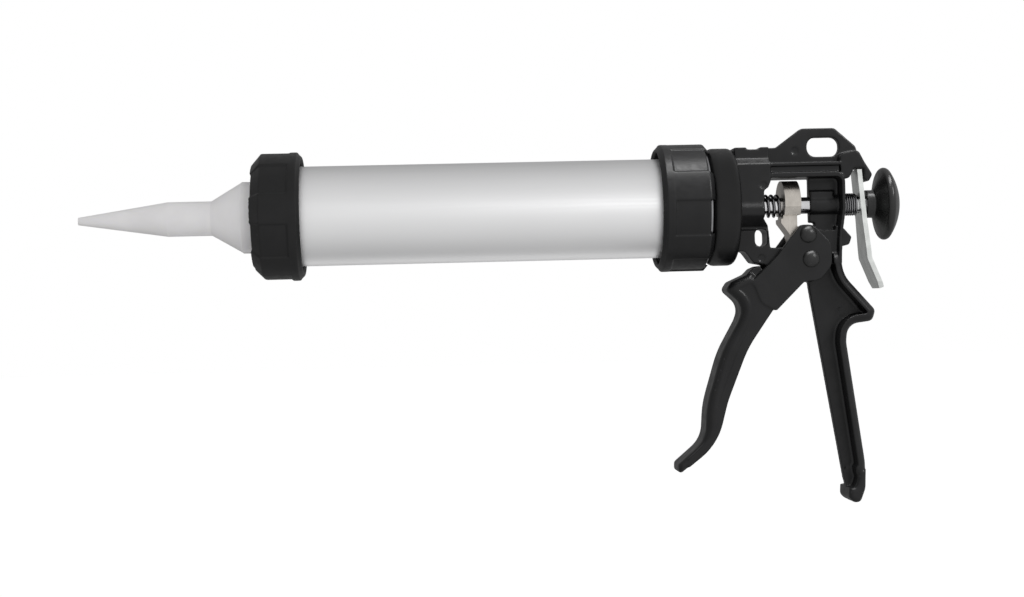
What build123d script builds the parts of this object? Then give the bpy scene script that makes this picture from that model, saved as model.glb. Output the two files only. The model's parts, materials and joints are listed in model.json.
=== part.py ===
from build123d import *
import math
import os

os.makedirs("parts", exist_ok=True)

# A 400 ml barrel caulking gun. Millimetres. The push rod lies on the X axis, the nozzle
# points to -X, +Z is up and Y runs across the gun. The origin is on the rod axis, on the
# front face of the casting, where the swivelling barrel seats.

# --- driving dimensions -------------------------------------------------------------
rod_r = 4.5
barrel_r = 26.5
barrel_wall = 1.2
barrel_front = -249.5
barrel_back = -19.6
ring_r = 34.0
front_ring_length = 26.7
rear_ring_length = 29.8
front_ring_end = -256.8
rear_ring_end = -12.2
disc_r = 31.5
loose_gap = 0.3
running_gap = 0.06
nozzle_tip = -348.6
outlet_r = 1.25
grip_half = 12.4
cheek_inner = 8.4
band_depth, band_radius, toe_radius = 4.6, 4.4, 2.4
web_half = 8.0
window_top = 14.6
plate_half = 2.6
slot_box = (40.7, 58.1, 26.0, 36.4)
spring_seat = 9.8
pillar_back = 58.8
pivot_x, pivot_z = 39.3, -29.1
drive_pin_x, drive_pin_z = 38.1, -16.0
rivet_r = 3.5
roller_r = 4.4

# --- sizes that follow --------------------------------------------------------------
bore_r = barrel_r - barrel_wall
collar_r = barrel_r + 3.2
collar_length = 16.0
thread_pitch = 3.0
ring_bore = collar_r + loose_gap
recess_r = ring_r - 0.8
ring_wall = 2.4
pad_angle = 27.5
nozzle_collar_r = 19.0
nozzle_neck_r = 9.15
backing_r = 30.4
backing_thickness = 1.1
backing_front = rear_ring_end - 4.5
disc_front = backing_front + backing_thickness
hub_r = 22.0
hub_front = -22.2
clip_groove_depth = 1.2
spigot_r = 11.0
spigot_front = -26.0
rod_hole_r = rod_r + 0.1
plate_gap = 0.3
drive_plate_front = 25.9
drive_plate_back = 34.5
leg_back = drive_pin_x - roller_r - plate_gap
piston_front = -247.0
piston_back = piston_front + 13.0
stud_r = 3.5
knob_front = 71.8
knob_pin_x = knob_front + 2.4
knob_pin_r = 1.25
rod_end = 84.0
clip_thickness = 1.4
hub_clip_back = backing_front - ring_wall - 0.5
hub_clip_front = hub_clip_back - clip_thickness
spigot_clip_back = hub_front - 1.7
spigot_clip_front = spigot_clip_back - clip_thickness


def save(name, solid):
    """Writes one node as parts/NAME.step."""
    solid.label = name
    export_step(solid, f"parts/{name}.step")


def turned(profile):
    """A body of revolution about the rod axis from its (x, radius) outline."""
    return revolve(Plane.XZ * make_face(Polyline(*profile, close=True)), Axis.X, 360)


def face_of(corners):
    """A face in the XZ plane from (x, z, corner radius) points."""
    points = [(x, z) for x, z, _ in corners]
    radii = [r for _, _, r in corners]
    return Plane.XZ * make_face(FilletPolyline(*points, radius=radii, close=True))


def slab(face, half):
    """The face thickened by half to each side of the gun's mid-plane."""
    return extrude(face, amount=half, both=True)


def block(x0, x1, half, z0, z1):
    """A block centred across the gun."""
    return Pos((x0 + x1) / 2, 0, (z0 + z1) / 2) * Box(x1 - x0, 2 * half, z1 - z0)


def rod_x(x0, x1, radius, z=0):
    return Pos((x0 + x1) / 2, 0, z) * Rot(0, 90, 0) * Cylinder(radius, x1 - x0)


def rod_y(x, z, y0, y1, radius):
    return Pos(x, (y0 + y1) / 2, z) * Rot(90, 0, 0) * Cylinder(radius, y1 - y0)


def washer(x0, x1, inner, outer):
    return rod_x(x0, x1, outer) - rod_x(x0 - 1, x1 + 1, inner)


def circlip(x0, x1, inner, outer):
    """A retaining ring with its gap at the bottom."""
    gap = Pos((x0 + x1) / 2, 0, -outer) * Box(2 * (x1 - x0), 5, outer)
    return washer(x0, x1, inner, outer) - gap


def coil(x0, x1, mean_r, wire_r, turns):
    """A round-wire compression spring about the rod axis."""
    height = x1 - x0 - 2 * wire_r
    path = Helix(pitch=height / turns, height=height, radius=mean_r)
    section = Plane(path @ 0, z_dir=path % 0) * Circle(wire_r)
    wire = sweep(section, path=path, is_frenet=True)
    return Pos(x0 + wire_r, 0, 0) * Rot(0, 90, 0) * wire


def cap_points(start, radius, height):
    """Rim, middle and crown of a shallow dome's half outline, as (radius, distance along)."""
    sphere_r = (radius**2 + height**2) / (2 * height)
    half_angle = math.asin(radius / sphere_r) / 2
    middle_rise = height - sphere_r * (1 - math.cos(half_angle))
    middle = (sphere_r * math.sin(half_angle), start + middle_rise)
    return (radius, start), middle, (0, start + height)


# --- nozzle, rings and barrel -------------------------------------------------------
def make_nozzle():
    """A hollow cone nozzle whose flange is held against the barrel's front rim."""
    wall = 1.6
    flange_back = barrel_front - 0.1
    flange_front = flange_back - 2.4
    neck_start, neck_end = -301.5, -278.5
    shoulder = -262.0
    land = 8.0
    return turned([
        (nozzle_tip, outlet_r),
        (nozzle_tip, outlet_r + 0.75),
        (neck_start, nozzle_neck_r),
        (neck_end, nozzle_neck_r),
        (shoulder - 1.5, nozzle_collar_r - 1.0),
        (shoulder, nozzle_collar_r),
        (flange_front, nozzle_collar_r),
        (flange_front, ring_bore - 1.0),
        (flange_back, ring_bore - 1.0),
        (flange_back, nozzle_collar_r - wall),
        (shoulder + 0.6, nozzle_collar_r - wall),
        (neck_end + 0.6, nozzle_neck_r - wall),
        (neck_start, nozzle_neck_r - wall),
        (nozzle_tip + land, outlet_r),
    ])


def sector(centre_angle, x0, x1):
    """A wedge of the space round the X axis, as wide as one grip pad."""
    half = math.radians(pad_angle / 2)
    far = 2 * ring_r
    corners = [(0, 0), (far, -far * math.tan(half)), (far, far * math.tan(half))]
    wedge = extrude(Plane.YZ * make_face(Polyline(*corners, close=True)), amount=x1 - x0)
    return Rot(centre_angle, 0, 0) * Pos(x0, 0, 0) * wedge


def screw_ring(length, hole_r, set_back, lead, pad_inner, pad_lead, first_pad):
    """
    A threaded cap ring with six raised grip pads. Its closed end is at x = 0 and it opens
    towards +X. Between the pads the wall starts set_back further in.
    """
    seat = set_back + ring_wall
    lip_start = length - 6.5
    cup = turned([
        (set_back, hole_r),
        (set_back, recess_r - lead),
        (set_back + lead, recess_r),
        (length - 1.8, recess_r),
        (length, recess_r - 1.8),
        (length, ring_bore + 0.8),
        (length - 1.5, ring_bore),
        (seat, ring_bore),
        (seat, hole_r),
    ])
    pad_band = turned([
        (pad_lead * (1 - (ring_r - pad_inner) / (pad_lead + 0.8)), pad_inner),
        (pad_lead, ring_r),
        (lip_start + 1, ring_r),
        (lip_start + 1, ring_bore + 1),
        (seat, ring_bore + 1),
        (seat, pad_inner),
    ])
    lip = turned([
        (lip_start, ring_bore + 1),
        (lip_start, ring_r - 0.3),
        (lip_start + 0.4, ring_r + 0.1),
        (length - 2.2, ring_r + 0.1),
        (length - 1.4, ring_bore + 1),
    ])
    ring = cup + lip
    for step in range(6):
        ring += pad_band & sector(first_pad + 60 * step, 0, length)
    return ring


def make_front_ring():
    ring = screw_ring(
        front_ring_length, nozzle_collar_r + loose_gap, 0.9, 5.0, ring_r - 6.4, 5.6, 175.4
    )
    return Pos(front_ring_end, 0, 0) * ring


def make_rear_ring():
    """The same cap turned about, with prongs that reach round the backing plate."""
    ring = screw_ring(
        rear_ring_length, hub_r + loose_gap, 4.6, 0.8, backing_r + 0.4, 4.6, 17.8
    )
    return Pos(rear_ring_end, 0, 0) * Rot(0, 0, 180) * ring


def make_barrel():
    return washer(barrel_front, barrel_back, bore_r, barrel_r)


def thread_collar(x0):
    """A plastic collar fixed on the tube's end, with a shallow thread cut as grooves."""
    x1 = x0 + collar_length
    collar = washer(x0, x1, barrel_r, collar_r)
    groove_depth = 0.7
    for turn in range(4):
        centre = x0 + 2.5 + turn * thread_pitch
        collar -= washer(centre - 0.6, centre + 0.6, collar_r - groove_depth, collar_r + 1)
    return collar


# --- swivel -------------------------------------------------------------------------
def make_swivel_disc():
    """The round cup between barrel and casting; it turns on the casting's spigot."""
    front_round, back_round = 4.6, 3.8
    edge = FilletPolyline(
        (disc_front, hub_r),
        (disc_front, disc_r),
        (-0.1, disc_r),
        (-0.1, hub_r),
        radius=[front_round, back_round],
    )
    rim = revolve(Plane.XZ * make_face(edge + Line(edge @ 1, edge @ 0)), Axis.X, 360)
    hub_groove = clip_groove(hub_clip_back, hub_r)
    core = rod_x(hub_front, -0.1, hub_r) - rod_x(hub_front - 1, 1, spigot_r + running_gap)
    return rim + core - hub_groove


def clip_groove(back, radius):
    """The groove that a circlip sits in, cut into a shaft of this radius."""
    return washer(back - clip_thickness, back, radius - clip_groove_depth, radius + 1)


def make_backing_plate():
    return washer(backing_front, backing_front + backing_thickness - 0.1, hub_r, backing_r)


def make_hub_circlip():
    return circlip(hub_clip_front, hub_clip_back, hub_r - clip_groove_depth, hub_r + 2.4)


def make_swivel_washer():
    return washer(spigot_clip_back, hub_front - 0.2, spigot_r, spigot_r + 6)


def make_swivel_circlip():
    inner = spigot_r - clip_groove_depth
    return circlip(spigot_clip_front, spigot_clip_back, inner, spigot_r + 2.4)


# --- rod and piston -----------------------------------------------------------------
def make_push_rod():
    """A polished round rod, stepped down at the front for the piston and at the back."""
    shaft = rod_x(piston_back + 2.0, knob_front, rod_r)
    stud = rod_x(piston_front + 1.0, piston_back + 2.0, stud_r)
    tail = rod_x(knob_front, rod_end, stud_r)
    return shaft + stud + tail - rod_y(knob_pin_x, 0, -8, 8, knob_pin_r)


def make_piston():
    """A dished piston with two wiping lips."""
    lip_r = bore_r - loose_gap
    web_r = lip_r - 2.5
    face = piston_front + 6.0
    return turned([
        (face, stud_r),
        (face, web_r - 4),
        (piston_front, web_r),
        (piston_front, lip_r),
        (piston_front + 3.0, lip_r),
        (piston_front + 4.0, web_r + 1),
        (piston_back - 3.5, web_r + 1),
        (piston_back - 3.0, lip_r),
        (piston_back, lip_r),
        (piston_back, lip_r - 2),
        (piston_back - 4.0, lip_r - 5),
        (piston_back - 4.0, 9.0),
        (piston_back, 9.0),
        (piston_back, stud_r),
    ])


def make_piston_washer():
    return washer(piston_back, piston_back + 2.0, stud_r, 11.0)


def make_piston_nut():
    """A hexagon nut sunk in the piston's dish."""
    thickness = 4.5
    nut = extrude(Plane.YZ * RegularPolygon(6.6, 6), amount=thickness)
    nut = Pos(piston_front + 6.0 - thickness, 0, 0) * nut
    return nut - rod_x(piston_front, piston_back, stud_r)


def make_pull_knob():
    """A turned knob: short hub, hollow flare, thin rounded rim and domed back."""
    hub_radius, rim_r = 7.5, 19.5
    hub_end, rim_front, rim_back = 76.2, 80.0, 84.3
    dome_r, dome_height = rim_r - 1.2, 5.7
    dome = [(along, radius) for radius, along in cap_points(rim_back, dome_r, dome_height)]
    outline = [
        Line((knob_front, 0), (knob_front, hub_radius)),
        Line((knob_front, hub_radius), (hub_end, hub_radius)),
        ThreePointArc((hub_end, hub_radius), (78.2, 11.6), (rim_front, rim_r - 2.2)),
        ThreePointArc((rim_front, rim_r - 2.2), (82.2, rim_r), (rim_back, dome_r)),
        ThreePointArc(*dome),
        Line((rim_back + dome_height, 0), (knob_front, 0)),
    ]
    knob = revolve(Plane.XZ * make_face(Curve() + outline), Axis.X, 360)
    return knob - rod_x(knob_front - 1, rod_end, stud_r) - make_knob_pin()


def make_knob_pin():
    return rod_y(knob_pin_x, 0, -7.0, 7.0, knob_pin_r)


# --- casting ------------------------------------------------------------------------
def rect(x0, x1, z0, z1):
    """A rectangle in the XZ plane."""
    corners = [(x0, z0), (x1, z0), (x1, z1), (x0, z1)]
    return Plane.XZ * make_face(Polyline(*corners, close=True))


def edge_band(face, depth, keep):
    """The strip just inside a face's edge, where it meets the face keep."""
    return (face - offset(face, amount=-depth)) & keep


def round_steps(radius, count):
    """Inset and narrowing of each step that approximates a rounded corner."""
    for step in range(count):
        angle = math.radians(90 * (step + 0.5) / count)
        yield radius * (1 - math.cos(angle)), radius * (1 - math.sin(angle))


def rounded_band(face, depth, keep):
    """A band inside a face's edge, stepped narrower towards the edge so that it reads round."""
    band = Part()
    for inset, narrowing in round_steps(band_radius, 6):
        inner = face - offset(face, amount=-depth)
        ring = inner & offset(face, amount=-inset) & keep
        band += slab(ring, grip_half - narrowing)
    return band


def rounded_toe(face, half):
    """A slab whose side outline shrinks towards both sides."""
    toe = Part()
    for inset, narrowing in round_steps(toe_radius, 4):
        toe += slab(offset(face, amount=-inset), half - narrowing)
    return toe


def across(half_section, x0, x1):
    """A beam along X whose (y, z) half section is mirrored across the gun."""
    other_side = [(-y, z) for y, z in reversed(half_section)]
    section = Plane.YZ * make_face(Polyline(*half_section, *other_side, close=True))
    return Pos(x0, 0, 0) * extrude(section, amount=x1 - x0)


def front_block():
    """The thick nose of the casting: wide round the rod, narrow at its top and bottom."""
    upper_part = [(9.0, 31.3), (9.0, 25.4), (12.8, 21.9), (12.8, 1.6)]
    bulge = [(14.4, -1.4), (14.4, -5.0), (7.0, -11.6), (7.0, -20)]
    clip_notch = block(6.7, 13.7, 10, 30.2, 32)
    return across(upper_part + bulge, 0, 18.7) - clip_notch


def lower_web():
    """The tongue under the window and the web that the trigger's cheeks straddle."""
    outline = face_of([
        (0.0, -13.0, 0),
        (0.0, -24.3, 0),
        (4.6, -24.3, 1.5),
        (9.0, -30.4, 2.0),
        (15.0, -31.6, 4.0),
        (31.0, -41.3, 6.0),
        (41.0, -41.3, 4.0),
        (50.0, -31.0, 0),
        (56.0, -31.0, 0),
        (56.0, -22.6, 0),
        (18.7, -22.6, 0),
        (18.7, -13.0, 0),
    ])
    return slab(outline, web_half)


def top_plate():
    """The thin upper plate with the hanging slot."""
    outline = face_of([
        (15.0, 20.0, 0),
        (15.0, 31.3, 0),
        (23.8, 31.3, 3.0),
        (37.8, 41.4, 3.0),
        (55.8, 41.4, 3.0),
        (67.2, 31.3, 3.0),
        (69.2, 24.0, 0),
        (60.0, 20.0, 0),
    ])
    return slab(outline, plate_half) - slab(hanging_slot(), 2 * plate_half)


def hanging_slot():
    x0, x1, z0, z1 = slot_box
    r = 4.6
    return face_of([(x0, z0, r), (x1, z0, r), (x1, z1, r), (x0, z1, r)])


def rear_frame():
    """Top bar, pillar and the thin bored web behind the window."""
    bar = block(16.0, 56.0, 10.6, window_top, 22.6)
    upper_rib = block(16.0, 57.0, 12.0, 20.7, 22.6)
    rib_and_pillar = face_of([
        (16.0, window_top, 0),
        (16.0, 17.2, 0),
        (pillar_back, 17.2, 4.6),
        (pillar_back, -3.0, 10.0),
        (56.8, -16.0, 10.0),
        (56.0, -32.0, 0),
        (54.1, -32.0, 0),
        (54.9, -16.0, 10.0),
        (56.9, -3.0, 10.0),
        (56.9, window_top, 2.7),
    ])
    web = block(41.0, 57.5, plate_half, -9.5, window_top) + block(43.8, 57.5, plate_half, -16.0, -9.5)
    boss = rod_x(41.0, 57.5, 5.75) + block(41.6, 54.0, 4.6, 0.0, 7.3)
    foot = block(44.2, 55.5, web_half, -32.0, -14.0)
    return bar + upper_rib + slab(rib_and_pillar, 12.0) + web + boss + foot


def hook():
    """The hooked nose that holds the release plate's top edge."""
    outline = face_of([
        (57.0, 13.6, 0),
        (57.0, 27.0, 3.0),
        (66.8, 29.0, 3.0),
        (70.0, 22.6, 4.0),
        (74.4, 15.4, 2.2),
        (71.6, 10.6, 1.2),
        (70.0, 13.4, 0.4),
        (70.0, 19.2, 0.8),
        (64.6, 19.2, 1.5),
        (61.6, 13.6, 1.5),
    ])
    return slab(outline, 9.5)


def rear_nub():
    outline = face_of([
        (54.0, -11.5, 0),
        (58.4, -13.0, 1.0),
        (62.6, -17.8, 1.2),
        (61.2, -21.8, 1.2),
        (54.0, -23.5, 0),
    ])
    return slab(outline, web_half)


def make_handle():
    """The fixed grip: a thin web with a broad flange along its back that forms the toe."""
    outline = face_of([
        (39.4, -40.0, 0),
        (40.0, -45.0, 0),
        (56.4, -147.6, 1.5),
        (57.2, -150.4, 1.0),
        (56.8, -157.2, 2.8),
        (59.6, -160.0, 2.8),
        (63.2, -159.8, 2.8),
        (66.0, -152.5, 8.0),
        (66.6, -139.0, 30.0),
        (58.0, -74.0, 12.0),
        (59.0, -64.6, 7.0),
        (72.4, -63.0, 3.2),
        (74.2, -57.2, 3.0),
        (57.6, -38.2, 16.0),
        (56.0, -26.0, 0),
        (50.0, -26.0, 0),
    ])
    behind = face_of([
        (80.0, -24.0, 0),
        (80.0, -165.0, 0),
        (61.4, -165.0, 0),
        (61.4, -146.0, 0),
        (58.0, -110.0, 0),
        (51.5, -60.0, 0),
        (51.5, -24.0, 0),
    ])
    grip = outline & rect(30, 80, -145.0, -20)
    flange = rounded_band(grip, band_depth, behind)
    toe_region = face_of([
        (61.8, -142.0, 0),
        (61.9, -147.0, 6.0),
        (60.4, -151.4, 2.0),
        (50.0, -152.8, 0),
        (50.0, -165.0, 0),
        (80.0, -165.0, 0),
        (80.0, -142.0, 0),
    ])
    toe = rounded_toe(outline & toe_region, grip_half)
    return flange + toe + slab(outline, plate_half)


def make_casting():
    """The die-cast body and fixed handle in one piece."""
    window_front = face_of([
        (30.0, window_top, 0),
        (19.4, window_top, 0),
        (17.2, 9.4, 1.0),
        (14.9, 7.8, 0.8),
        (14.6, -7.2, 1.0),
        (17.6, -10.8, 1.5),
        (18.4, -22.6, 0),
        (30.0, -22.6, 0),
    ])
    body = front_block() + lower_web() - slab(window_front, 20)
    body += top_plate() + rear_frame() + hook() + rear_nub() + make_handle()
    eye = face_of([(10.3, -21.7, 2.6), (16.9, -21.7, 2.6), (16.9, -12.6, 2.6), (10.3, -12.6, 2.6)])
    body -= slab(eye, 20)
    body += rod_x(spigot_front, 1.0, spigot_r) - clip_groove(spigot_clip_back, spigot_r)
    body -= rod_x(spigot_front - 1, 80, rod_hole_r)
    body -= rod_x(spring_seat, 24, 6.8)
    body -= rod_y(pivot_x, pivot_z, -20, 20, rivet_r)
    marks = [
        (34.1, 29.4, plate_half, 2.1),
        (14.4, 10.7, 12.8, 2.1),
        (13.6, -28.0, web_half, 2.1),
        (56.2, -56.4, plate_half, 1.0),
        (57.5, -141.9, plate_half, 0.8),
    ]
    mark_depth = 0.5
    for x, z, half, radius in marks:
        near = rod_y(x, z, -half, mark_depth - half, radius)
        body -= near + mirror(near, about=Plane.XZ)
    return body


# --- trigger ------------------------------------------------------------------------
def lever_face():
    """The finger lever's side outline, from the cheeks down to its kicked-out tip."""
    return face_of([
        (7.4, -35.6, 0.8),
        (-3.6, -40.4, 2.4),
        (-6.6, -44.8, 2.6),
        (2.8, -53.6, 8.0),
        (0.0, -61.2, 20.0),
        (-9.6, -78.0, 60.0),
        (-18.2, -106.0, 60.0),
        (-19.4, -124.4, 16.0),
        (-34.2, -136.8, 2.0),
        (-34.4, -143.0, 1.4),
        (-13.0, -126.5, 34.0),
        (-7.0, -104.0, 60.0),
        (4.4, -76.0, 60.0),
        (17.6, -57.2, 0.4),
        (22.0, -50.0, 0),
    ])


def cheek_face():
    """One cheek's side outline: round over the drive pin and round the pivot."""
    return face_of([
        (34.0, -10.8, 3.0),
        (41.0, -10.8, 6.0),
        (50.8, -21.0, 8.0),
        (50.6, -33.0, 9.0),
        (43.8, -40.6, 6.0),
        (35.4, -41.4, 0.5),
        (20.0, -56.4, 0.6),
        (12.0, -52.0, 6.0),
        (7.5, -40.2, 1.0),
        (21.0, -27.2, 14.0),
    ])


def make_trigger():
    """A channel open to the rear whose two cheeks straddle the casting's web."""
    lever = lever_face()
    cheek = cheek_face()
    front_side = face_of([
        (-45.0, -30.0, 0),
        (9.4, -30.0, 0),
        (9.4, -57.0, 0),
        (-1.0, -80.0, 0),
        (-11.0, -106.0, 0),
        (-13.0, -119.0, 0),
        (-29.0, -134.0, 0),
        (-29.0, -150.0, 0),
        (-45.0, -150.0, 0),
    ])
    wall_face = lever - edge_band(lever, 2.6, front_side)
    walls = slab(wall_face, 11.6) + rounded_band(lever, band_depth, front_side)
    solid = walls + slab(cheek, grip_half)
    channel = (Pos(5.0, 0, 0) * lever) & rect(-20, 60, -130, -36)
    opening = face_of([
        (8.0, -39.5, 0),
        (8.0, -5.0, 0),
        (60.0, -5.0, 0),
        (60.0, -60.0, 0),
        (12.0, -60.0, 0),
    ])
    solid -= slab(channel + opening, cheek_inner)
    tab = face_of([
        (4.0, -38.0, 0),
        (8.2, -33.6, 0.5),
        (12.2, -31.9, 0.5),
        (14.0, -34.6, 0.5),
        (8.6, -42.0, 0),
    ])
    solid += slab(tab, cheek_inner)
    solid -= rod_y(pivot_x, pivot_z, -20, 20, rivet_r + running_gap)
    solid -= rod_y(drive_pin_x, drive_pin_z, -20, 20, rivet_r)
    return solid


def make_rivet(x, z):
    """A solid rivet across the cheeks with two domed heads."""
    head_r, head_height = 4.7, 2.4
    reach = grip_half + 0.15
    half_outline = [
        Line((0, 0), (rivet_r, 0)),
        Line((rivet_r, 0), (rivet_r, reach)),
        Line((rivet_r, reach), (head_r, reach)),
        ThreePointArc(*cap_points(reach, head_r, head_height)),
        Line((0, reach + head_height), (0, 0)),
    ]
    half = revolve(make_face(Curve() + half_outline), Axis.Y, 360)
    return Pos(x, 0, z) * (half + mirror(half, about=Plane.XZ))


def make_drive_roller():
    roller = rod_y(drive_pin_x, drive_pin_z, -7.6, 7.6, roller_r)
    return roller - rod_y(drive_pin_x, drive_pin_z, -9, 9, rivet_r + running_gap)


# --- drive and release --------------------------------------------------------------
def make_drive_plate():
    """The thick plate that grips the rod, with a leg down to the roller."""
    head_r, leg_half, leg_bottom = 13.3, 7.0, -20.5
    round_top = rod_x(drive_plate_front, drive_plate_back, head_r)
    round_top -= block(0, 60, 20, -20, -1.0)
    side = math.sqrt(head_r**2 - 1.0)
    waist = across([(side, -1.0), (10.4, -5.4)], drive_plate_front, drive_plate_back)
    leg = slab(face_of([
        (drive_plate_front, -4.4, 0),
        (drive_plate_front, -7.0, 0),
        (drive_plate_front - 1.2, -7.4, 0),
        (drive_plate_front - 1.2, -9.4, 1.0),
        (29.2, -15.6, 4.0),
        (29.6, leg_bottom, 1.5),
        (leg_back, leg_bottom, 1.5),
        (leg_back, -4.4, 0),
    ]), leg_half)
    return round_top + waist + leg - rod_x(0, 60, rod_hole_r)


def make_drive_spring():
    return coil(spring_seat + 0.1, drive_plate_front - 0.1, 5.65, 0.7, 5)


def make_release_plate():
    """The sprung plate that stops the rod running back, with a bent thumb tab."""
    side = face_of([
        (66.5, 18.4, 0),
        (70.4, -29.4, 3.0),
        (77.0, -45.8, 0.5),
        (79.4, -45.0, 0.5),
        (72.9, -29.0, 5.5),
        (69.0, 18.4, 0),
    ])
    outline = across([(7.2, 19), (7.5, -8), (9.4, -24), (9.4, -42), (6.5, -47)], 60, 85)
    hole = rod_x(60, 76, 4.95)
    return (slab(side, 9.5) & outline) - hole


def make_release_spring():
    return coil(pillar_back + 0.1, 67.0, 5.6, 0.5, 6)


NODES = {
    "nozzle": make_nozzle,
    "front_ring": make_front_ring,
    "front_thread_collar": lambda: thread_collar(barrel_front),
    "barrel": make_barrel,
    "rear_thread_collar": lambda: thread_collar(barrel_back - collar_length),
    "rear_ring": make_rear_ring,
    "backing_plate": make_backing_plate,
    "hub_circlip": make_hub_circlip,
    "swivel_disc": make_swivel_disc,
    "swivel_washer": make_swivel_washer,
    "swivel_circlip": make_swivel_circlip,
    "piston": make_piston,
    "piston_nut": make_piston_nut,
    "piston_washer": make_piston_washer,
    "push_rod": make_push_rod,
    "pull_knob": make_pull_knob,
    "knob_pin": make_knob_pin,
    "casting": make_casting,
    "trigger": make_trigger,
    "pivot_rivet": lambda: make_rivet(pivot_x, pivot_z),
    "drive_rivet": lambda: make_rivet(drive_pin_x, drive_pin_z),
    "drive_roller": make_drive_roller,
    "drive_plate": make_drive_plate,
    "drive_spring": make_drive_spring,
    "release_plate": make_release_plate,
    "release_spring": make_release_spring,
}

for node_name, make_node in NODES.items():
    save(node_name, make_node())
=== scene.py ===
import json
import math

import bpy
from mathutils import Matrix, Vector


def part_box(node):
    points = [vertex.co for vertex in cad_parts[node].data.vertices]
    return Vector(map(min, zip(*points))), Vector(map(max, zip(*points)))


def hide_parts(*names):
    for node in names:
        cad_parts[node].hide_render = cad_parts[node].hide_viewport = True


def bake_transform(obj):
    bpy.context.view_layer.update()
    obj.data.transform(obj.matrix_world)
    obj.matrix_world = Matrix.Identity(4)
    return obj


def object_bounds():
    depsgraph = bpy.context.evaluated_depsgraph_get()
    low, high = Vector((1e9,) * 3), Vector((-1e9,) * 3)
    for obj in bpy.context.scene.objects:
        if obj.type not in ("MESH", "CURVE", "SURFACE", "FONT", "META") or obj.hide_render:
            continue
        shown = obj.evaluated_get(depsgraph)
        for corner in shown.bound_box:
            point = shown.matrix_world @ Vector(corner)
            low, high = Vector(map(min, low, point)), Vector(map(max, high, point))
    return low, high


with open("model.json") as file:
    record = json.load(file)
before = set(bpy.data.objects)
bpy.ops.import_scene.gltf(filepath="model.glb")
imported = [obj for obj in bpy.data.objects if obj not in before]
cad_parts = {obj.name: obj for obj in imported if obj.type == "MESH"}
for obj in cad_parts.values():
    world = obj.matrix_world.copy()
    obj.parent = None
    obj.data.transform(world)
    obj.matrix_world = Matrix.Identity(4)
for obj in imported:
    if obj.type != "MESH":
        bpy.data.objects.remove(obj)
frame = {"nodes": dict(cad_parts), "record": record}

CAD_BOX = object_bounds()
NODES = frame["nodes"]
MM = 0.001

# Where the camera stands and looks, in metres and degrees in the part's frame.
CAMERA_PLACE = Vector((-0.1663, -0.9089, -0.0487))
CAMERA_YAW, CAMERA_PITCH, CAMERA_ROLL = 2.9, 0.15, 1.4274
CAMERA_LENS, CAMERA_SENSOR = 59.77, 36.0

# How far the floor lies below the gun, and how far it reaches, in metres.
FLOOR_DROP = 0.14
FLOOR_REACH = 6.0

# The sky is brightest in this direction, and runs between these strengths.
BRIGHT_SIDE = (0.36, -0.93, 0.10)
SKY_RANGE = (0.24, 0.86)


# --- node tools ---------------------------------------------------------------------
class Finish:
    """A principled material with object-space texture helpers."""

    def __init__(self, name, colour, metallic, roughness):
        self.material = bpy.data.materials.new(name)
        self.material.use_nodes = True
        self.tree = self.material.node_tree
        self.shader = self.tree.nodes["Principled BSDF"]
        self.shader.inputs["Base Color"].default_value = (*colour, 1)
        self.shader.inputs["Metallic"].default_value = metallic
        self.shader.inputs["Roughness"].default_value = roughness
        self.colour, self.roughness = colour, roughness
        self.place = self.tree.nodes.new("ShaderNodeTexCoord")

    def add(self, kind, **values):
        node = self.tree.nodes.new(kind)
        for key, value in values.items():
            setattr(node, key, value)
        return node

    def link(self, source, target):
        self.tree.links.new(source, target)

    def noise(self, scale, detail=4.0, stretch=(1, 1, 1)):
        """Noise over the object, with this many features a metre."""
        mapping = self.add("ShaderNodeMapping")
        mapping.inputs["Scale"].default_value = stretch
        self.link(self.place.outputs["Object"], mapping.inputs["Vector"])
        noise = self.add("ShaderNodeTexNoise")
        noise.inputs["Scale"].default_value = scale
        noise.inputs["Detail"].default_value = detail
        self.link(mapping.outputs["Vector"], noise.inputs["Vector"])
        return noise.outputs["Fac"]

    def remap(self, value, low, high, start=0.35, end=0.65):
        """Spreads a noise's middle range over low to high."""
        node = self.add("ShaderNodeMapRange")
        for key, number in zip(("From Min", "From Max", "To Min", "To Max"), (start, end, low, high)):
            node.inputs[key].default_value = number
        self.link(value, node.inputs["Value"])
        return node.outputs["Result"]

    def mottle(self, factor, dark, light):
        """The base colour wanders between its own darker and lighter shades."""
        mix = self.add("ShaderNodeMix", data_type="RGBA")
        mix.inputs["A"].default_value = (*[channel * dark for channel in self.colour], 1)
        mix.inputs["B"].default_value = (*[channel * light for channel in self.colour], 1)
        self.link(factor, mix.inputs["Factor"])
        self.link(mix.outputs["Result"], self.shader.inputs["Base Color"])
        return mix.outputs["Result"]

    def worn_edges(self, base, colour, start=0.54, end=0.62, amount=0.6):
        """Rubbed corners show a lighter colour."""
        geometry = self.add("ShaderNodeNewGeometry")
        edge = self.remap(geometry.outputs["Pointiness"], 0.0, amount, start, end)
        mix = self.add("ShaderNodeMix", data_type="RGBA")
        mix.inputs["B"].default_value = (*colour, 1)
        self.link(edge, mix.inputs["Factor"])
        self.link(base, mix.inputs["A"])
        self.link(mix.outputs["Result"], self.shader.inputs["Base Color"])

    def vary_roughness(self, factor, spread):
        low, high = self.roughness - spread, self.roughness + spread
        self.link(self.remap(factor, low, high), self.shader.inputs["Roughness"])

    def bump(self, height, strength, distance_mm):
        node = self.add("ShaderNodeBump")
        node.inputs["Strength"].default_value = strength
        node.inputs["Distance"].default_value = distance_mm * MM
        self.link(height, node.inputs["Height"])
        self.link(node.outputs["Normal"], self.shader.inputs["Normal"])


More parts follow.
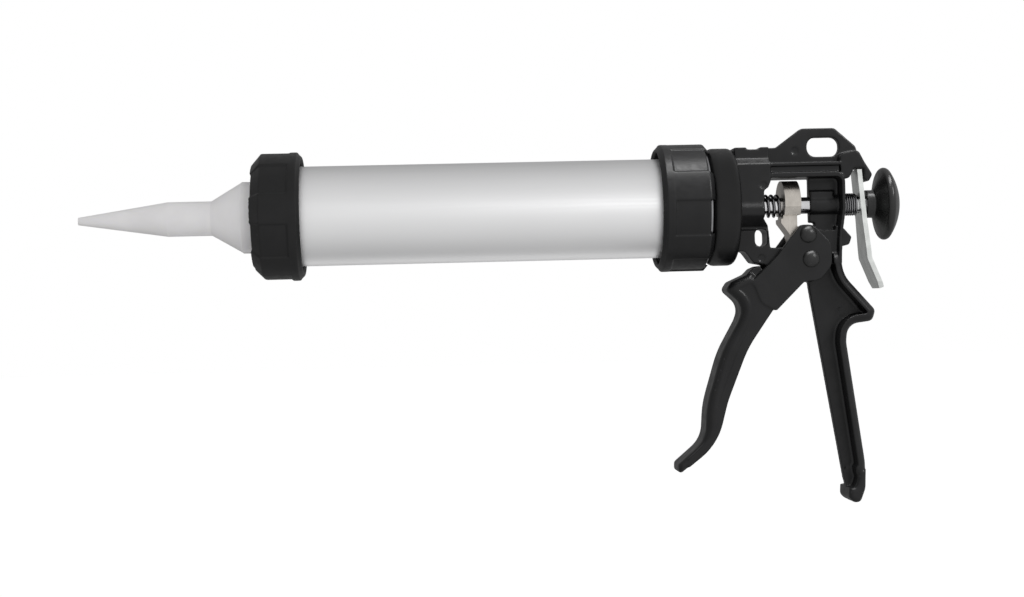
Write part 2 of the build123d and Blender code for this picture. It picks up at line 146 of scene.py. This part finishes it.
# --- materials ----------------------------------------------------------------------
def powder_coat():
    """Black powder coat: fine orange peel over the die casting."""
    finish = Finish("powder_coat", (0.0075, 0.0075, 0.008), 0.0, 0.34)
    cloud = finish.noise(60)
    peel = finish.noise(1500, 2)
    shade = finish.mottle(finish.remap(cloud, 0, 1), 0.85, 1.25)
    finish.worn_edges(shade, (0.030, 0.030, 0.032))
    finish.vary_roughness(finish.noise(220), 0.06)
    finish.bump(peel, 0.30, 0.08)
    finish.shader.inputs["Specular IOR Level"].default_value = 0.30
    return finish.material


def black_steel():
    finish = Finish("black_steel", (0.007, 0.007, 0.007), 0.0, 0.34)
    shade = finish.mottle(finish.remap(finish.noise(500), 0, 1), 0.8, 1.3)
    finish.worn_edges(shade, (0.035, 0.035, 0.035))
    finish.vary_roughness(finish.noise(900), 0.06)
    finish.bump(finish.noise(1800, 2), 0.15, 0.05)
    return finish.material


def moulded_black():
    """Satin black moulded rings and disc."""
    finish = Finish("moulded_black", (0.0065, 0.0065, 0.007), 0.0, 0.38)
    shade = finish.mottle(finish.remap(finish.noise(90), 0, 1), 0.85, 1.2)
    finish.worn_edges(shade, (0.022, 0.022, 0.022), 0.55, 0.66, 0.5)
    finish.vary_roughness(finish.noise(350), 0.05)
    finish.bump(finish.noise(3200, 3), 0.16, 0.04)
    finish.shader.inputs["Specular IOR Level"].default_value = 0.32
    return finish.material


def gloss_black():
    finish = Finish("gloss_black", (0.008, 0.008, 0.008), 0.0, 0.30)
    finish.mottle(finish.remap(finish.noise(120), 0, 1), 0.8, 1.3)
    finish.vary_roughness(finish.noise(260), 0.05)
    finish.bump(finish.noise(900, 2), 0.06, 0.04)
    return finish.material


def satin_aluminium():
    """Drawn tube: faint lines along the barrel and a soft sheen."""
    finish = Finish("satin_aluminium", (0.90, 0.90, 0.905), 1.0, 0.46)
    lines = finish.noise(900, 3, (0.02, 1, 1))
    finish.mottle(finish.remap(finish.noise(25, 3, (0.3, 1, 1)), 0, 1), 0.98, 1.01)
    finish.vary_roughness(lines, 0.03)
    finish.bump(lines, 0.05, 0.01)
    return finish.material


def milky_plastic():
    finish = Finish("milky_plastic", (0.93, 0.915, 0.92), 0.0, 0.36)
    finish.mottle(finish.remap(finish.noise(45), 0, 1), 0.95, 1.03)
    finish.vary_roughness(finish.noise(300), 0.05)
    finish.bump(finish.noise(1400, 2), 0.06, 0.04)
    finish.shader.inputs["Subsurface Weight"].default_value = 0.35
    finish.shader.inputs["Subsurface Scale"].default_value = 2 * MM
    finish.shader.inputs["Subsurface Radius"].default_value = (1.0, 1.0, 0.9)
    return finish.material


def piston_plastic():
    finish = Finish("piston_plastic", (0.62, 0.62, 0.60), 0.0, 0.45)
    finish.mottle(finish.remap(finish.noise(80), 0, 1), 0.92, 1.05)
    finish.vary_roughness(finish.noise(400), 0.05)
    finish.bump(finish.noise(2200, 2), 0.10, 0.03)
    return finish.material


def plated_steel(name, colour, roughness, grain):
    """Plated or ground steel with a grain along Z."""
    finish = Finish(name, colour, 1.0, roughness)
    lines = finish.noise(grain, 3, (1, 1, 0.06))
    finish.mottle(finish.remap(finish.noise(160), 0, 1), 0.86, 1.05)
    finish.vary_roughness(lines, 0.07)
    finish.bump(lines, 0.14, 0.02)
    return finish.material


def polished_rod():
    finish = Finish("polished_rod", (0.74, 0.74, 0.75), 1.0, 0.16)
    rings = finish.noise(1500, 2, (1, 0.05, 0.05))
    finish.mottle(finish.remap(finish.noise(60), 0, 1), 0.90, 1.04)
    finish.vary_roughness(rings, 0.04)
    finish.bump(rings, 0.05, 0.01)
    return finish.material


MATERIALS = {
    "black_casting": powder_coat(),
    "black_steel": black_steel(),
    # This dark steel also finishes the backing plate between the rear ring and the swivel disc; there
    # its dark colour is painted shade for that narrow, shaded gap, over what is a brighter plated
    # washer.
    "dark_steel": plated_steel("dark_steel", (0.30, 0.30, 0.31), 0.35, 900),
    "black_plastic": moulded_black(),
    "gloss_plastic": gloss_black(),
    "piston_plastic": piston_plastic(),
    "milky_plastic": milky_plastic(),
    "aluminium": satin_aluminium(),
    "zinc_steel": plated_steel("zinc_steel", (0.86, 0.88, 0.86), 0.26, 1200),
    "polished_steel": polished_rod(),
    "ground_steel": plated_steel("ground_steel", (0.62, 0.58, 0.53), 0.33, 1500),
    "spring_steel": plated_steel("spring_steel", (0.30, 0.30, 0.31), 0.26, 1600),
}


# --- pieces -------------------------------------------------------------------------
def paint(obj, slot):
    """Gives every material slot of obj the finish of that slot."""
    if not obj.data.materials:
        obj.data.materials.append(MATERIALS[slot])
    for holder in obj.material_slots:
        holder.material = MATERIALS[slot]


def soften(obj, voxel_mm, rounds):
    """Moulded or cast corners: the solid is remeshed finely and its corners relaxed."""
    remesh = obj.modifiers.new("cast_grid", "REMESH")
    remesh.mode = "VOXEL"
    remesh.voxel_size = voxel_mm * MM
    remesh.use_smooth_shade = True
    relax = obj.modifiers.new("cast_radius", "SMOOTH")
    relax.factor = 0.5
    relax.iterations = rounds


def break_edges(obj, width_mm):
    """Machined corners: a narrow chamfer on every sharp edge."""
    bevel = obj.modifiers.new("broken_edge", "BEVEL")
    bevel.width = width_mm * MM
    bevel.segments = 2
    bevel.limit_method = "ANGLE"
    bevel.angle_limit = math.radians(35)


def elastic_copy(name):
    """A fixed copy of a spring node's mesh; the node itself is hidden."""
    source = NODES[name]
    spring = bpy.data.objects.new(name + "_coil", source.data.copy())
    bpy.context.collection.objects.link(spring)
    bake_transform(spring)
    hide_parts(name)
    return spring


# Moulded and cast nodes: the remesh's voxel in millimetres and the rounds of relaxing.
SOFT = {
    "casting": (0.40, 14),
    "trigger": (0.40, 18),
    "front_ring": (0.45, 4),
    "rear_ring": (0.45, 4),
    "swivel_disc": (0.45, 4),
    "pull_knob": (0.35, 4),
    "pivot_rivet": (0.25, 4),
    "drive_rivet": (0.25, 4),
}

# Machined nodes: the chamfer's width in millimetres.
CRISP = {
    "drive_plate": 0.5,
    "release_plate": 0.35,
    "backing_plate": 0.25,
    "drive_roller": 0.3,
    "nozzle": 0.3,
}

slots = {entry["node"]: entry["material_slot"] for entry in frame["record"]["subparts"]}
for node_name, node in NODES.items():
    paint(node, slots[node_name])
    if node_name in SOFT:
        soften(node, *SOFT[node_name])
    if node_name in CRISP:
        break_edges(node, CRISP[node_name])

for spring_name, plate in (("drive_spring", "drive_plate"), ("release_spring", "release_plate")):
    coil = elastic_copy(spring_name)
    paint(coil, "spring_steel")


# --- stage, light and camera --------------------------------------------------------
def pale_floor():
    """A wide pale floor below the frame."""
    level = CAD_BOX[0].z - FLOOR_DROP
    mesh = bpy.data.meshes.new("pale_floor")
    signs = ((-1, -1), (1, -1), (1, 1), (-1, 1))
    corners = [(x * FLOOR_REACH, y * FLOOR_REACH, level) for x, y in signs]
    mesh.from_pydata(corners, [], [(0, 1, 2, 3)])
    floor = bpy.data.objects.new("pale_floor", mesh)
    bpy.context.collection.objects.link(floor)
    finish = Finish("pale_floor", (0.86, 0.86, 0.86), 0.0, 0.7)
    finish.mottle(finish.remap(finish.noise(1.5), 0, 1), 0.99, 1.01)
    finish.shader.inputs["Emission Color"].default_value = (1, 1, 1, 1)
    finish.shader.inputs["Emission Strength"].default_value = 0.55
    mesh.materials.append(finish.material)
    floor.visible_glossy = False
    floor.visible_diffuse = False


def studio_sky():
    """Soft light, brightest in front of the gun; the camera sees a white background."""
    world = bpy.data.worlds.new("studio")
    world.use_nodes = True
    bpy.context.scene.world = world
    tree = world.node_tree
    tree.nodes.clear()
    place = tree.nodes.new("ShaderNodeTexCoord")
    facing = tree.nodes.new("ShaderNodeVectorMath")
    facing.operation = "DOT_PRODUCT"
    facing.inputs[1].default_value = BRIGHT_SIDE
    ramp = tree.nodes.new("ShaderNodeMapRange")
    for key, number in zip(("From Min", "From Max", "To Min", "To Max"), (-1, 1, *SKY_RANGE)):
        ramp.inputs[key].default_value = number
    light = tree.nodes.new("ShaderNodeBackground")
    white = tree.nodes.new("ShaderNodeBackground")
    white.inputs["Strength"].default_value = 1.0
    white.inputs["Color"].default_value = (1, 1, 1, 1)
    light.inputs["Color"].default_value = (1, 1, 1, 1)
    path = tree.nodes.new("ShaderNodeLightPath")
    mix = tree.nodes.new("ShaderNodeMixShader")
    output = tree.nodes.new("ShaderNodeOutputWorld")
    tree.links.new(place.outputs["Generated"], facing.inputs[0])
    tree.links.new(facing.outputs["Value"], ramp.inputs["Value"])
    tree.links.new(ramp.outputs["Result"], light.inputs["Strength"])
    tree.links.new(path.outputs["Is Camera Ray"], mix.inputs["Fac"])
    tree.links.new(light.outputs["Background"], mix.inputs[1])
    tree.links.new(white.outputs["Background"], mix.inputs[2])
    tree.links.new(mix.outputs["Shader"], output.inputs["Surface"])


def light_group(name, node_names):
    """The CAD nodes that a lamp may light."""
    group = bpy.data.collections.new(name)
    for node_name in node_names:
        group.objects.link(NODES[node_name])
    return group


def softbox(name, place, aim, size, power, lit):
    """A rectangular lamp that lights only the pieces in the collection lit."""
    light = bpy.data.lights.new(name, "AREA")
    light.shape = "RECTANGLE"
    light.size, light.size_y = size
    light.energy = power
    lamp = bpy.data.objects.new(name, light)
    lamp.location = place
    lamp.rotation_euler = (Vector(aim) - Vector(place)).to_track_quat("-Z", "Y").to_euler()
    lamp.visible_camera = False
    lamp.light_linking.receiver_collection = lit
    bpy.context.collection.objects.link(lamp)


def studio_camera():
    """The camera's axes from its yaw, pitch and roll."""
    yaw, pitch, roll = (math.radians(angle) for angle in (CAMERA_YAW, CAMERA_PITCH, CAMERA_ROLL))
    level = math.cos(pitch)
    forward = Vector((math.sin(yaw) * level, math.cos(yaw) * level, math.sin(pitch)))
    right = Vector((math.cos(yaw), -math.sin(yaw), 0))
    down = forward.cross(right)
    side = right * math.cos(roll) + down * math.sin(roll)
    below = down * math.cos(roll) - right * math.sin(roll)
    turn = Matrix((side, -below, -forward)).transposed().to_4x4()
    data = bpy.data.cameras.new("camera")
    data.lens, data.sensor_width, data.sensor_fit = CAMERA_LENS, CAMERA_SENSOR, "HORIZONTAL"
    data.clip_start, data.clip_end = 0.05, 50
    camera = bpy.data.objects.new("camera", data)
    camera.matrix_world = Matrix.Translation(CAMERA_PLACE) @ turn
    bpy.context.collection.objects.link(camera)
    bpy.context.scene.camera = camera


pale_floor()
studio_sky()
black_pieces = light_group(
    "black_pieces", ("casting", "trigger", "pivot_rivet", "drive_rivet", "rear_ring", "pull_knob")
)
pale_pieces = light_group("pale_pieces", ("barrel", "nozzle"))
casting_front = Vector((0, 0, 0))
barrel_middle = (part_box("barrel")[0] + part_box("barrel")[1]) / 2

# Name, place, aim, width and height in metres, power in watts, and the pieces it lights.
LAMPS = (
    ("overhead", (0.10, -0.25, 0.95), casting_front, (0.9, 0.30), 9.0, black_pieces),
    ("top_right", (0.75, -0.75, 0.65), casting_front, (0.16, 0.16), 4.5, black_pieces),
    ("front", (0.28, -0.92, 0.20), barrel_middle, (0.5, 0.22), 0.75, pale_pieces),
    ("underside", (-0.13, 0.24, -0.25), barrel_middle, (0.45, 0.2), 0.15, pale_pieces),
)
for lamp_settings in LAMPS:
    softbox(*lamp_settings)
studio_camera()
bpy.context.scene.view_settings.view_transform = "Standard"
